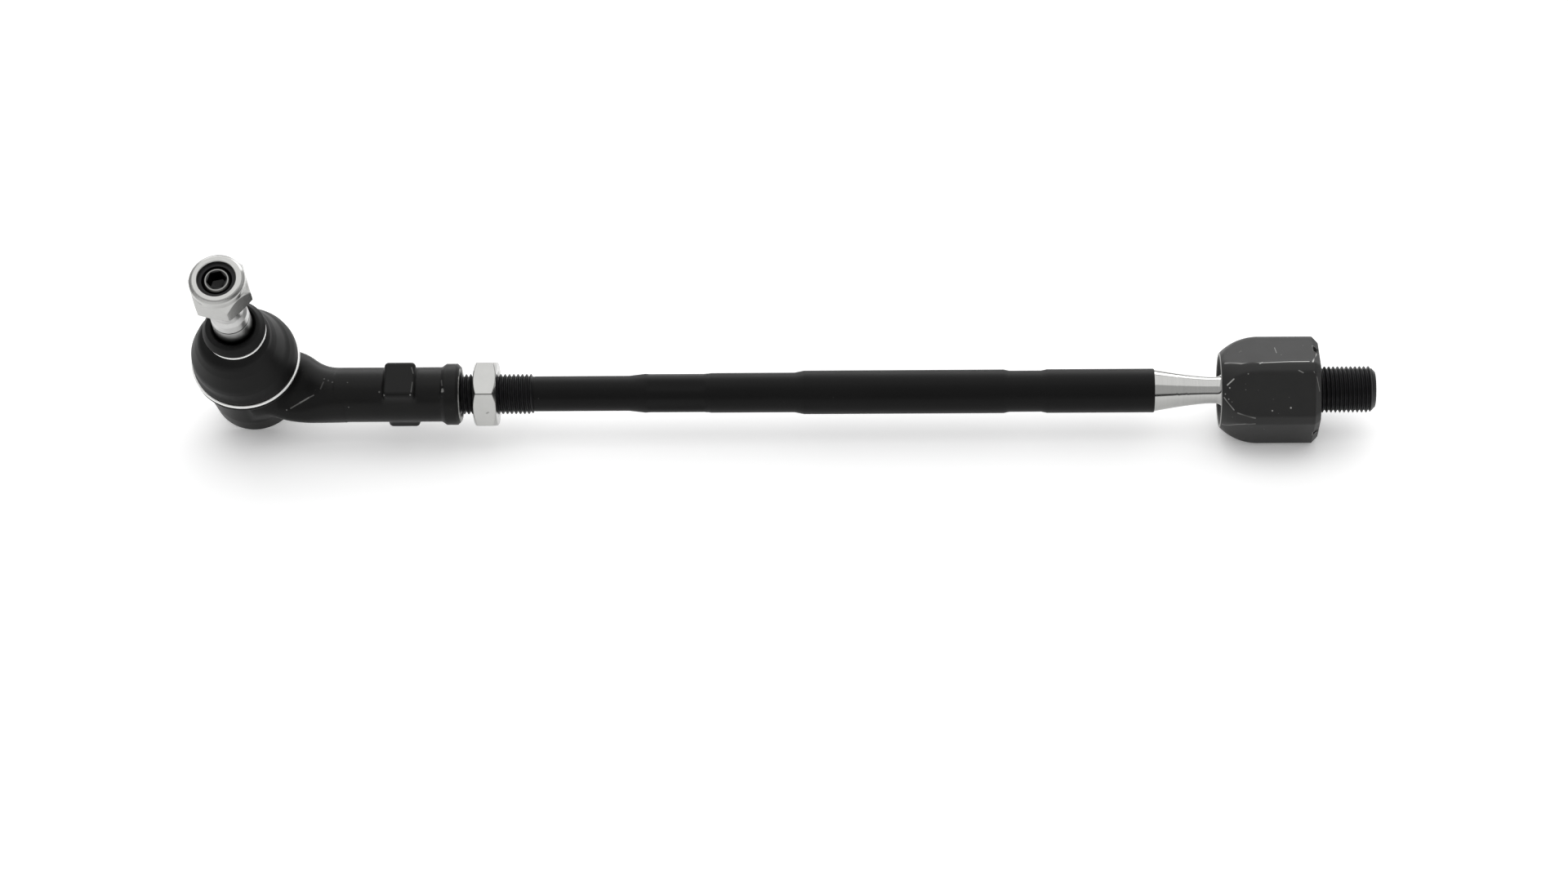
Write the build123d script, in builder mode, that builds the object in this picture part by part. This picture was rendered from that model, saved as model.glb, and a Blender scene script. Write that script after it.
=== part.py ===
from build123d import *
from math import acos, cos, degrees, hypot, radians, sin, sqrt
import os

os.makedirs("parts", exist_ok=True)

# A steering tie rod as it lies on a bench. Lengths are in millimetres, angles in degrees.
# The origin is on the rod's axis, at the inner socket's shoulder, where it meets the steering rack.
# +X runs out along the rack thread, the rod runs along -X and +Z is up.
# It rests on a flat of the inner socket and on the lower rim of the outer ball pot.

# Running clearance of ball, seat and thread, and the gap between pieces that don't turn on each other
running_clearance = 0.05
assembly_gap = 0.05

# Inner socket: a hexagonal body rolled in round the rod's ball
rack_thread_diameter = 16.0
rack_thread_length = 19.7
rack_thread_chamfer = 1.9
socket_diameter = 36.8
socket_across_flats = 33.4
socket_length = 33.9
socket_back_chamfer = 3.2
inner_ball_from_shoulder = 20.0
socket_dome_from_ball = 0.6
mouth_rim_diameter = 24.6
mouth_throat_angle = 44.0
inner_seat_thickness = 1.2
inner_seat_mouth_angle = 53.0
inner_seat_back_angle = 155.0

# Tie rod, from its ball to the far end of its thread
inner_ball_diameter = 28.0
neck_diameter = 9.2
neck_root_radius = 2.6
neck_waist_from_ball = 17.0
neck_end_from_ball = 36.2
neck_end_diameter = 14.4
rod_diameter = 15.15
end_section_length = 36.9
groove_edge_length = 2.0
groove_length = 11.0
groove_diameter = 14.3
main_section_length = 69.0
reducing_cone_length = 3.4
middle_diameter = 13.8
middle_section_length = 29.9
wrench_section_length = 21.9
wrench_round_diameter = 13.5
wrench_across_flats = 13.0
wrench_flat_turn = 26.0
shoulder_cone_length = 5.6
shank_diameter = 12.2
shank_length = 33.2
rod_thread_diameter = 14.0
rod_thread_length = 50.0
rod_thread_runout = 1.0
rod_thread_chamfer = 1.2

# Jam nut on the rod's thread
jam_nut_across_flats = 22.0
jam_nut_thickness = 8.0
jam_nut_chamfer = 1.0
jam_nut_from_runout = 12.3
jam_nut_corner_turn = 35.0

# Outer end: sleeve, wrench pads, arm and ball pot in one forging
sleeve_gap = 4.9
arm_length = 34.6
sleeve_diameter = 19.4
flare_diameter = 21.3
flare_length = 5.0
flare_ramp_length = 1.6
sleeve_bore_depth = 36.0
sleeve_mouth_chamfer = 1.3
flare_edge_chamfer = 1.2
pad_across_flats = 22.6
pad_width = 13.8
pad_length = 10.9
pad_corner_radius = 1.8
pad_from_sleeve_end = 20.6
pad_turn = 5.0
outer_end_length = 74.3
ball_side_offset = 8.8
stud_lean = 30.0

# Ball pot, with heights measured from the ball's centre along the stud
pot_wall = 2.75
pot_foot_narrowing = 0.6
pot_foot_rounding = 1.6
pot_taper_height = 8.0
pot_crimp_inner_radius = 11.4
pot_crimp_thickness = 1.5
flange_width = 1.3
flange_bottom_height = 7.4
flange_top_height = 12.5
pot_throat_angle = 51.6
pot_mouth_radius = 12.4
cover_plate_thickness = 1.5
preload_spring_thickness = 0.7
preload_spring_bore_radius = 6.0
outer_seat_thickness = 1.85
outer_seat_mouth_angle = 62.0
outer_seat_floor_thickness = 1.3
outer_seat_drain_radius = 4.0

# Ball stud
outer_ball_diameter = 22.0
stud_neck_radius = 5.5
stud_neck_fillet = 1.5
stud_neck_end_height = 22.0
stud_collar_height = 30.0
taper_large_radius = 7.0
taper_small_radius = 6.4
taper_start_height = 34.0
taper_length = 14.6
taper_groove_from_end = 4.1
taper_groove_depth = 0.3
undercut_radius = 5.35
undercut_length = 5.4
stud_thread_diameter = 12.0
stud_thread_chamfer = 0.8
stud_point_radius = 4.4
stud_point_below_nut_top = 1.0
hex_key_size = 6.0
hex_key_depth = 6.0

# Dust boot and the wire rings that hold it
boot_wall = 1.8
boot_bead_thickness = 1.75
boot_bead_bottom_height = 7.7
boot_shoulder_height = 12.4
boot_dome_radius = 15.5
boot_dome_height = 22.0
boot_lip_radius = 10.3
boot_collar_radius = 10.8
boot_collar_top_radius = 9.1
boot_lip_top_height = 38.0
boot_seal_height = 37.3
lower_ring_height = 11.0
lower_ring_wire = 1.1
upper_ring_height = 32.7
upper_ring_wire = 0.9

# Stud nut with a nylon ring in its collar
stud_nut_across_flats = 19.0
stud_nut_height = 12.0
stud_nut_from_undercut = 6.45
stud_nut_foot_chamfer = 0.8
stud_nut_corner_length = 5.6
stud_nut_collar_radius = 9.5
stud_nut_crown_radius = 8.2
stud_nut_crown_height = 1.2
stud_nut_opening_radius = 6.8
nylon_inner_radius = 5.2
nylon_thickness = 2.4
nylon_height = 2.6
nylon_below_top = 1.3

# Places along the rod, from the shoulder towards the outer end
inner_ball_x = -inner_ball_from_shoulder
neck_waist_x = inner_ball_x - neck_waist_from_ball
neck_end_x = inner_ball_x - neck_end_from_ball
end_section_x = neck_end_x - end_section_length
groove_right_x = end_section_x - groove_edge_length
groove_left_x = groove_right_x - groove_length
main_right_x = groove_left_x - groove_edge_length
main_left_x = main_right_x - main_section_length
middle_right_x = main_left_x - reducing_cone_length
middle_left_x = middle_right_x - middle_section_length
wrench_left_x = middle_left_x - wrench_section_length
shank_right_x = wrench_left_x - shoulder_cone_length
thread_right_x = shank_right_x - shank_length
rod_end_x = thread_right_x - rod_thread_length
jam_nut_x = thread_right_x - jam_nut_from_runout - jam_nut_thickness
sleeve_end_x = jam_nut_x - sleeve_gap
pad_x = sleeve_end_x - pad_from_sleeve_end
pot_x = sleeve_end_x - outer_end_length
arm_x = pot_x + arm_length

# The outer ball joint's centre, axis and planes
inner_ball_radius = inner_ball_diameter / 2
outer_ball_radius = outer_ball_diameter / 2
lean = radians(stud_lean)
stud_axis = Vector(0, -sin(lean), cos(lean))
sideways = Vector(0, cos(lean), sin(lean))
ball_centre = Vector(pot_x, 0, 0) + sideways * ball_side_offset
turning_axis = Axis(ball_centre, stud_axis)
half_section = Plane(origin=ball_centre, x_dir=(1, 0, 0), z_dir=sideways * -1)


def across_stud(height):
    """The plane square to the stud at a height above the ball's centre."""
    return Plane(origin=ball_centre + stud_axis * height, x_dir=(1, 0, 0), z_dir=stud_axis)


def from_mouth(radius, angle):
    """A point of the inner joint's half section, at an angle from the rod's side of the ball."""
    return (inner_ball_x - radius * cos(radians(angle)), radius * sin(radians(angle)))


def from_stud(radius, angle):
    """A point of the outer joint's half section, at an angle from the stud."""
    return (radius * sin(radians(angle)), radius * cos(radians(angle)))


# Inner ball seat: a plastic shell round the rod's ball
inner_seat_bore = inner_ball_radius + running_clearance
inner_seat_outside = inner_seat_bore + inner_seat_thickness
seat_middle_angle = (inner_seat_mouth_angle + inner_seat_back_angle) / 2
with BuildPart() as inner_ball_seat:
    with BuildSketch(Plane.XY):
        with BuildLine():
            ThreePointArc(
                from_mouth(inner_seat_bore, inner_seat_mouth_angle),
                from_mouth(inner_seat_bore, seat_middle_angle),
                from_mouth(inner_seat_bore, inner_seat_back_angle),
            )
            Line(
                from_mouth(inner_seat_bore, inner_seat_back_angle),
                from_mouth(inner_seat_outside, inner_seat_back_angle),
            )
            ThreePointArc(
                from_mouth(inner_seat_outside, inner_seat_back_angle),
                from_mouth(inner_seat_outside, seat_middle_angle),
                from_mouth(inner_seat_outside, inner_seat_mouth_angle),
            )
            Line(
                from_mouth(inner_seat_outside, inner_seat_mouth_angle),
                from_mouth(inner_seat_bore, inner_seat_mouth_angle),
            )
        make_face()
    revolve(axis=Axis.X)
inner_ball_seat.part.label = "inner_ball_seat"
export_step(inner_ball_seat.part, "parts/inner_ball_seat.step")

# Inner socket: its flats are cut from a round body whose mouth end is rolled to a dome over the ball
cavity_radius = inner_seat_outside + assembly_gap
socket_radius = socket_diameter / 2
socket_flat_half = socket_across_flats / 2
mouth_x = -socket_length
dome_x = inner_ball_x - socket_dome_from_ball
rim_angle = acos((dome_x - mouth_x) / socket_radius)
rim_radius = socket_radius * sin(rim_angle)
dome_middle_angle = (rim_angle + radians(90)) / 2
with BuildPart() as inner_socket:
    with BuildSketch(Plane.XY):
        with BuildLine():
            Polyline(
                (mouth_x, mouth_rim_diameter / 2),
                (mouth_x, rim_radius),
            )
            ThreePointArc(
                (mouth_x, rim_radius),
                (
                    dome_x - socket_radius * cos(dome_middle_angle),
                    socket_radius * sin(dome_middle_angle),
                ),
                (dome_x, socket_radius),
            )
            Polyline(
                (dome_x, socket_radius),
                (-socket_back_chamfer, socket_radius),
                (0, socket_radius - socket_back_chamfer),
                (0, 0),
                (inner_ball_x + cavity_radius, 0),
            )
            ThreePointArc(
                (inner_ball_x + cavity_radius, 0),
                from_mouth(cavity_radius, (mouth_throat_angle + 180) / 2),
                from_mouth(cavity_radius, mouth_throat_angle),
            )
            Line(from_mouth(cavity_radius, mouth_throat_angle), (mouth_x, mouth_rim_diameter / 2))
        make_face()
    revolve(axis=Axis.X)
    with BuildSketch(Plane.YZ.offset(mouth_x)):
        Circle(socket_radius + socket_back_chamfer)
        RegularPolygon(socket_flat_half, 6, major_radius=False, mode=Mode.SUBTRACT)
    extrude(amount=socket_length, mode=Mode.SUBTRACT)
    with BuildSketch(Plane.YZ):
        Circle(rack_thread_diameter / 2)
    extrude(amount=rack_thread_length)
    chamfer(inner_socket.edges().filter_by(GeomType.CIRCLE).sort_by(Axis.X)[-1], rack_thread_chamfer)
inner_socket.part.label = "inner_socket"
export_step(inner_socket.part, "parts/inner_socket.step")

# Tie rod: turned and forged from one bar, with its ball at the inner end
neck_radius = neck_diameter / 2
fillet_reach = inner_ball_radius + neck_root_radius
fillet_rise = neck_radius + neck_root_radius
fillet_x = inner_ball_x - sqrt(fillet_reach**2 - fillet_rise**2)
fillet_share = inner_ball_radius / fillet_reach
fillet_on_ball = (inner_ball_x + (fillet_x - inner_ball_x) * fillet_share, fillet_rise * fillet_share)
fillet_angle = degrees(acos((inner_ball_x - fillet_on_ball[0]) / inner_ball_radius))
neck_arc_drop = (neck_end_diameter / 2 - neck_radius) / 4
thread_radius = rod_thread_diameter / 2
with BuildPart() as tie_rod:
    with BuildSketch(Plane.XY):
        with BuildLine():
            ThreePointArc(
                (inner_ball_x + inner_ball_radius, 0),
                from_mouth(inner_ball_radius, (fillet_angle + 180) / 2),
                fillet_on_ball,
            )
            RadiusArc(fillet_on_ball, (fillet_x, neck_radius), neck_root_radius)
            Line((fillet_x, neck_radius), (neck_waist_x, neck_radius))
            ThreePointArc(
                (neck_waist_x, neck_radius),
                ((neck_waist_x + neck_end_x) / 2, neck_radius + neck_arc_drop),
                (neck_end_x, neck_end_diameter / 2),
            )
            Polyline(
                (neck_end_x, neck_end_diameter / 2),
                (neck_end_x, rod_diameter / 2),
                (end_section_x, rod_diameter / 2),
                (groove_right_x, groove_diameter / 2),
                (groove_left_x, groove_diameter / 2),
                (main_right_x, rod_diameter / 2),
                (main_left_x, rod_diameter / 2),
                (middle_right_x, middle_diameter / 2),
                (middle_left_x, middle_diameter / 2),
                (middle_left_x, wrench_round_diameter / 2),
                (wrench_left_x, wrench_round_diameter / 2),
                (shank_right_x, shank_diameter / 2),
                (thread_right_x + rod_thread_runout, shank_diameter / 2),
                (thread_right_x, thread_radius),
                (rod_end_x + rod_thread_chamfer, thread_radius),
                (rod_end_x, thread_radius - rod_thread_chamfer),
                (rod_end_x, 0),
                (inner_ball_x + inner_ball_radius, 0),
            )
        make_face()
    revolve(axis=Axis.X)
    with BuildSketch(Plane.YZ.offset(wrench_left_x)):
        Circle(wrench_round_diameter)
        RegularPolygon(
            wrench_across_flats / 2,
            6,
            major_radius=False,
            rotation=30 - wrench_flat_turn,
            mode=Mode.SUBTRACT,
        )
    extrude(amount=wrench_section_length, mode=Mode.SUBTRACT)
tie_rod.part.label = "tie_rod"
export_step(tie_rod.part, "parts/tie_rod.step")

# Jam nut: thin, chamfered on both faces, one corner towards the viewer
jam_nut_corner_radius = jam_nut_across_flats / sqrt(3)
with BuildPart() as jam_nut:
    with BuildSketch(Plane.YZ.offset(jam_nut_x)):
        RegularPolygon(jam_nut_corner_radius, 6, rotation=-jam_nut_corner_turn)
        Circle(thread_radius + running_clearance, mode=Mode.SUBTRACT)
    extrude(amount=jam_nut_thickness)
    with BuildSketch(Plane.XY):
        face_radius = jam_nut_corner_radius - 2 * jam_nut_chamfer
        nut_right_x = jam_nut_x + jam_nut_thickness
        with BuildLine():
            Polyline(
                (jam_nut_x, 0),
                (jam_nut_x, face_radius),
                (jam_nut_x + jam_nut_chamfer, jam_nut_corner_radius),
                (nut_right_x - jam_nut_chamfer, jam_nut_corner_radius),
                (nut_right_x, face_radius),
                (nut_right_x, 0),
                close=True,
            )
        make_face()
    revolve(axis=Axis.X, mode=Mode.INTERSECT)
jam_nut.part.label = "jam_nut"
export_step(jam_nut.part, "parts/jam_nut.step")

# Outer housing: sleeve, pads, arm and pot are one forging, bored and turned afterwards
outer_seat_bore = outer_ball_radius + running_clearance
pot_bore = outer_seat_bore + outer_seat_thickness
seat_outside = pot_bore - assembly_gap
pot_radius = pot_bore + pot_wall
pot_foot_radius = pot_radius - pot_foot_narrowing
flange_radius = pot_radius + flange_width
foot_corner_radius = pot_foot_radius - pot_foot_rounding
foot_above_floor = pot_foot_rounding + (foot_corner_radius - ball_side_offset) * sin(lean)
pot_foot_height = (socket_flat_half - foot_above_floor) / cos(lean)
pot_bottom_height = pot_foot_height + pot_foot_rounding
crimp_height = pot_bottom_height - pot_crimp_thickness
rounding_middle = pot_foot_rounding * sqrt(0.5)
sleeve_radius = sleeve_diameter / 2
flare_radius = flare_diameter / 2
# Each arm section: distance from the pot's centre, half width, half height and sideways offset
arm_height = boot_bead_bottom_height - 0.3
arm_sections = [
    (arm_length, sleeve_radius, sleeve_radius, 0),
    (0.76 * arm_length, 1.09 * sleeve_radius, 0.96 * sleeve_radius, 0.10 * ball_side_offset),
    (0.57 * arm_length, 0.81 * pot_radius, arm_height, 0.34 * ball_side_offset),
    (0.35 * arm_length, 0.84 * pot_radius, 0.98 * arm_height, 0.43 * ball_side_offset),
    (0.13 * arm_length, 0.79 * pot_radius, 0.96 * arm_height, 0.75 * ball_side_offset),
]
pad_axis_angle = 90 - stud_lean + pad_turn
pad_normal = Vector(0, -cos(radians(pad_axis_angle)), sin(radians(pad_axis_angle)))
with BuildPart() as outer_housing:
    with BuildSketch(Plane.XY):
        with BuildLine():
            Polyline(
                (arm_x, 0),
                (arm_x, sleeve_radius),
                (sleeve_end_x - flare_length - flare_ramp_length, sleeve_radius),
                (sleeve_end_x - flare_length, flare_radius),
                (sleeve_end_x - flare_edge_chamfer, flare_radius),
                (sleeve_end_x, flare_radius - flare_edge_chamfer),
                (sleeve_end_x, 0),
                close=True,
            )
        make_face()
    revolve(axis=Axis.X)
    with BuildSketch(Plane(origin=(pad_x, 0, 0), x_dir=(1, 0, 0), z_dir=pad_normal)):
        RectangleRounded(pad_length, pad_width, pad_corner_radius)
    extrude(amount=pad_across_flats / 2, both=True)
    for distance, half_width, half_height, offset in arm_sections:
        with BuildSketch(Plane.YZ.offset(pot_x + distance)):
            with Locations((offset * cos(lean), offset * sin(lean))):
                Ellipse(half_width, half_height, rotation=stud_lean)
    loft()
    with BuildSketch(half_section):
        with BuildLine():
            Polyline(
                (0, flange_top_height),
                (flange_radius, flange_top_height),
                (flange_radius, flange_bottom_height),
                (pot_radius, flange_bottom_height - (flange_radius - pot_radius)),
                (pot_radius, -pot_taper_height),
                (pot_foot_radius, -pot_foot_height),
            )
            ThreePointArc(
                (pot_foot_radius, -pot_foot_height),
                (foot_corner_radius + rounding_middle, -pot_foot_height - rounding_middle),
                (foot_corner_radius, -pot_bottom_height),
            )
            Polyline(
                (foot_corner_radius, -pot_bottom_height),
                (0, -pot_bottom_height),
                (0, flange_top_height),
            )
        make_face()
    revolve(axis=turning_axis)
    with BuildSketch(half_section):
        with BuildLine():
            Polyline(
                from_stud(pot_bore, pot_throat_angle),
                (pot_mouth_radius, flange_top_height),
                (0, flange_top_height),
                (0, -pot_bottom_height),
                (pot_crimp_inner_radius, -pot_bottom_height),
                (pot_crimp_inner_radius, -crimp_height),
                (pot_bore, -crimp_height),
                (pot_bore, 0),
            )
            ThreePointArc(
                (pot_bore, 0),
                from_stud(pot_bore, (pot_throat_angle + 90) / 2),
                from_stud(pot_bore, pot_throat_angle),
            )
        make_face()
    revolve(axis=turning_axis, mode=Mode.SUBTRACT)
    with BuildSketch(Plane.XY):
        bore_radius = thread_radius + running_clearance
        with BuildLine():
            Polyline(
                (sleeve_end_x, 0),
                (sleeve_end_x, bore_radius + sleeve_mouth_chamfer),
                (sleeve_end_x - sleeve_mouth_chamfer, bore_radius),
                (sleeve_end_x - sleeve_bore_depth, bore_radius),
                (sleeve_end_x - sleeve_bore_depth, 0),
                close=True,
            )
        make_face()
    revolve(axis=Axis.X, mode=Mode.SUBTRACT)
outer_housing.part.label = "outer_housing"
export_step(outer_housing.part, "parts/outer_housing.step")

# Outer ball seat: a plastic cup, spherical inside, round above and straight below the ball's middle
seat_floor_height = outer_seat_bore + outer_seat_floor_thickness
drain_angle = 180 - degrees(acos(sqrt(1 - (outer_seat_drain_radius / outer_seat_bore) ** 2)))
with BuildPart() as outer_ball_seat:
    with BuildSketch(half_section):
        with BuildLine():
            ThreePointArc(
                from_stud(outer_seat_bore, outer_seat_mouth_angle),
                from_stud(outer_seat_bore, (outer_seat_mouth_angle + drain_angle) / 2),
                from_stud(outer_seat_bore, drain_angle),
            )
            Polyline(
                from_stud(outer_seat_bore, drain_angle),
                (outer_seat_drain_radius, -seat_floor_height),
                (seat_outside, -seat_floor_height),
                (seat_outside, 0),
            )
            ThreePointArc(
                (seat_outside, 0),
                from_stud(seat_outside, (outer_seat_mouth_angle + 90) / 2),
                from_stud(seat_outside, outer_seat_mouth_angle),
            )
            Line(
                from_stud(seat_outside, outer_seat_mouth_angle),
                from_stud(outer_seat_bore, outer_seat_mouth_angle),
            )
        make_face()
    revolve(axis=turning_axis)
outer_ball_seat.part.label = "outer_ball_seat"
export_step(outer_ball_seat.part, "parts/outer_ball_seat.step")

# Cover plate: a disc that the pot's lower edge is crimped over
plate_top_height = crimp_height - assembly_gap - cover_plate_thickness
with BuildPart() as outer_cover_plate:
    with BuildSketch(across_stud(-crimp_height + assembly_gap)):
        Circle(seat_outside)
    extrude(amount=cover_plate_thickness)
outer_cover_plate.part.label = "outer_cover_plate"
export_step(outer_cover_plate.part, "parts/outer_cover_plate.step")

# Preload spring: a coned disc that presses the seat up from the cover plate
spring_top_height = seat_floor_height + assembly_gap
spring_foot_height = plate_top_height - assembly_gap
spring_rim_radius = seat_outside - running_clearance
with BuildPart() as outer_preload_spring:
    with BuildSketch(half_section):
        with BuildLine():
            Polyline(
                (preload_spring_bore_radius, -spring_top_height),
                (preload_spring_bore_radius, -spring_top_height - preload_spring_thickness),
                (spring_rim_radius, -spring_foot_height),
                (spring_rim_radius, -spring_foot_height + preload_spring_thickness),
                close=True,
            )
        make_face()
    revolve(axis=turning_axis)
outer_preload_spring.part.label = "outer_preload_spring"
export_step(outer_preload_spring.part, "parts/outer_preload_spring.step")

# Ball stud: ball, neck, collar under the boot's lip, taper, undercut and thread on one piece
stud_thread_radius = stud_thread_diameter / 2
stud_fillet_reach = outer_ball_radius + stud_neck_fillet
stud_fillet_side = stud_neck_radius + stud_neck_fillet
stud_fillet_height = sqrt(stud_fillet_reach**2 - stud_fillet_side**2)
ball_share = outer_ball_radius / stud_fillet_reach
fillet_on_stud_ball = (stud_fillet_side * ball_share, stud_fillet_height * ball_share)
stud_ball_angle = degrees(acos(fillet_on_stud_ball[1] / outer_ball_radius))
taper_end_height = taper_start_height + taper_length
taper_groove_height = taper_end_height - taper_groove_from_end
taper_slope = (taper_large_radius - taper_small_radius) / taper_length
groove_radius = taper_large_radius - taper_slope * (taper_groove_height - taper_start_height)
shoulder_height = taper_end_height + (taper_small_radius - undercut_radius)
thread_foot_height = shoulder_height + undercut_length
nut_foot_height = thread_foot_height + stud_nut_from_undercut
stud_nut_top_height = nut_foot_height + stud_nut_height
nylon_top_height = stud_nut_top_height - nylon_below_top
nylon_foot_height = nylon_top_height - nylon_height
stud_thread_end_height = nylon_foot_height - assembly_gap
stud_end_height = stud_nut_top_height - stud_point_below_nut_top
with BuildPart() as ball_stud:
    with BuildSketch(half_section):
        with BuildLine():
            ThreePointArc(
                (0, -outer_ball_radius),
                from_stud(outer_ball_radius, (stud_ball_angle + 180) / 2),
                fillet_on_stud_ball,
            )
            RadiusArc(
                fillet_on_stud_ball, (stud_neck_radius, stud_fillet_height), -stud_neck_fillet
            )
            Polyline(
                (stud_neck_radius, stud_fillet_height),
                (stud_neck_radius, stud_neck_end_height),
                (taper_large_radius, stud_collar_height),
                (taper_large_radius, taper_start_height),
                (groove_radius, taper_groove_height - taper_groove_depth),
                (groove_radius - taper_groove_depth, taper_groove_height),
                (groove_radius, taper_groove_height + taper_groove_depth),
                (taper_small_radius, taper_end_height),
                (undercut_radius, shoulder_height),
                (undercut_radius, thread_foot_height),
                (stud_thread_radius, thread_foot_height + stud_thread_radius - undercut_radius),
                (stud_thread_radius, stud_thread_end_height - stud_thread_chamfer),
                (stud_thread_radius - stud_thread_chamfer, stud_thread_end_height),
                (stud_point_radius, stud_thread_end_height),
                (stud_point_radius, stud_end_height),
                (0, stud_end_height),
                (0, -outer_ball_radius),
            )
        make_face()
    revolve(axis=turning_axis)
    with BuildSketch(across_stud(stud_end_height)):
        RegularPolygon(hex_key_size / 2, 6, major_radius=False)
    extrude(amount=-hex_key_depth, mode=Mode.SUBTRACT)
ball_stud.part.label = "ball_stud"
export_step(ball_stud.part, "parts/ball_stud.step")

# Dust boot: a bead on the pot's flange, a smooth dome and a lip on the stud's collar
bead_bore = flange_radius + assembly_gap
boot_bead_radius = bead_bore + boot_bead_thickness
bead_groove_radius = boot_bead_radius - lower_ring_wire
lip_bore = taper_large_radius + running_clearance
lip_groove_depth = upper_ring_wire / 2
dome_top_height = upper_ring_height - upper_ring_wire
lip_bottom_height = stud_collar_height + boot_wall / 2
with BuildPart() as dust_boot:
    with BuildSketch(half_section):
        with BuildLine():
            Polyline(
                (bead_bore, boot_bead_bottom_height),
                (bead_groove_radius, boot_bead_bottom_height),
                (boot_bead_radius, (boot_bead_bottom_height + lower_ring_height) / 2),
                (bead_groove_radius, lower_ring_height - lower_ring_wire / 2),
                (bead_groove_radius, lower_ring_height + lower_ring_wire / 2),
                (boot_bead_radius, boot_shoulder_height),
            )
            ThreePointArc(
                (boot_bead_radius, boot_shoulder_height),
                (boot_dome_radius, boot_dome_height),
                (boot_lip_radius, dome_top_height),
            )
            Polyline(
                (boot_lip_radius, dome_top_height),
                (boot_lip_radius - lip_groove_depth, upper_ring_height - upper_ring_wire / 2),
                (boot_lip_radius - lip_groove_depth, upper_ring_height + upper_ring_wire / 2),
                (boot_collar_radius, upper_ring_height + upper_ring_wire / 2),
                (boot_collar_top_radius, boot_lip_top_height),
                (lip_bore, boot_seal_height),
                (lip_bore, lip_bottom_height),
                (boot_lip_radius - boot_wall, lip_bottom_height),
            )
            ThreePointArc(
                (boot_lip_radius - boot_wall, lip_bottom_height),
                (boot_dome_radius - boot_wall, boot_dome_height - boot_wall / 2),
                (bead_bore, boot_shoulder_height + boot_wall / 2),
            )
            Line((bead_bore, boot_shoulder_height + boot_wall / 2), (bead_bore, boot_bead_bottom_height))
        make_face()
    revolve(axis=turning_axis)
dust_boot.part.label = "dust_boot"
export_step(dust_boot.part, "parts/dust_boot.step")

# Wire rings: one in the bead's side and one in the lip's groove
lower_ring_radius = bead_groove_radius + lower_ring_wire / 2 + assembly_gap
with BuildPart() as boot_lower_ring:
    with BuildSketch(half_section):
        with Locations((lower_ring_radius, lower_ring_height)):
            Circle(lower_ring_wire / 2)
    revolve(axis=turning_axis)
boot_lower_ring.part.label = "boot_lower_ring"
export_step(boot_lower_ring.part, "parts/boot_lower_ring.step")

upper_ring_radius = boot_lip_radius - lip_groove_depth + upper_ring_wire / 2 + assembly_gap
with BuildPart() as boot_upper_ring:
    with BuildSketch(half_section):
        with Locations((upper_ring_radius, upper_ring_height)):
            Circle(upper_ring_wire / 2)
    revolve(axis=turning_axis)
boot_upper_ring.part.label = "boot_upper_ring"
export_step(boot_upper_ring.part, "parts/boot_upper_ring.step")

# Stud nut: a hexagon that turns into a round collar, which holds the nylon ring
nut_corner_radius = stud_nut_across_flats / sqrt(3)
nut_bore = stud_thread_radius + running_clearance
nylon_outside = nylon_inner_radius + nylon_thickness
with BuildPart() as stud_nut:
    with BuildSketch(across_stud(nut_foot_height)):
        RegularPolygon(nut_corner_radius, 6)
    extrude(amount=stud_nut_height)
    with BuildSketch(half_section):
        with BuildLine():
            Polyline(
                (nut_bore, nut_foot_height),
                (nut_corner_radius - 2 * stud_nut_foot_chamfer, nut_foot_height),
                (nut_corner_radius, nut_foot_height + stud_nut_foot_chamfer),
                (nut_corner_radius, nut_foot_height + stud_nut_corner_length),
                (stud_nut_collar_radius, stud_nut_top_height - stud_nut_crown_height),
                (stud_nut_crown_radius, stud_nut_top_height),
                (stud_nut_opening_radius, stud_nut_top_height),
                (stud_nut_opening_radius, nylon_top_height),
                (nylon_outside + assembly_gap, nylon_top_height),
                (nylon_outside + assembly_gap, nylon_foot_height),
                (nut_bore, nylon_foot_height),
                close=True,
            )
        make_face()
    revolve(axis=turning_axis, mode=Mode.INTERSECT)
stud_nut.part.label = "stud_nut"
export_step(stud_nut.part, "parts/stud_nut.step")

# Nylon ring that locks the nut on the thread
with BuildPart() as stud_nut_insert:
    with BuildSketch(across_stud(nylon_foot_height)):
        Circle(nylon_outside)
        Circle(nylon_inner_radius, mode=Mode.SUBTRACT)
    extrude(amount=nylon_height)
stud_nut_insert.part.label = "stud_nut_insert"
export_step(stud_nut_insert.part, "parts/stud_nut_insert.step")
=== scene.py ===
import bmesh
import bpy
import numpy as np
from math import acos, atan2, cos, degrees, pi, radians, sin, sqrt
from mathutils import Matrix, Vector
from mathutils.bvhtree import BVHTree


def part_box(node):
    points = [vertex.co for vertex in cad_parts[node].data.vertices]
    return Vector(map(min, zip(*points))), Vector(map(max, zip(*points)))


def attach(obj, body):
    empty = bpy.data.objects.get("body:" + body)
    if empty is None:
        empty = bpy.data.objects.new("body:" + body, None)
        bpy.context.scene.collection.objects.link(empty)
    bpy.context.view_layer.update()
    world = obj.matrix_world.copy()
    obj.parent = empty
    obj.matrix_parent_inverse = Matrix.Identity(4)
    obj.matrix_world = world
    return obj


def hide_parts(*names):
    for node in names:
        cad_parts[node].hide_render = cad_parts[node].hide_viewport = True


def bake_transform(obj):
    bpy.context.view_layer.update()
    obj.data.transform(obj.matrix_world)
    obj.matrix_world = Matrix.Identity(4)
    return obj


# A steering tie rod on a white table. Shapes are made in millimetres and scaled to metres at the end.
# As in the solids, 0 is the inner socket's shoulder, the rod runs along -X and +Z is up.

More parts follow.
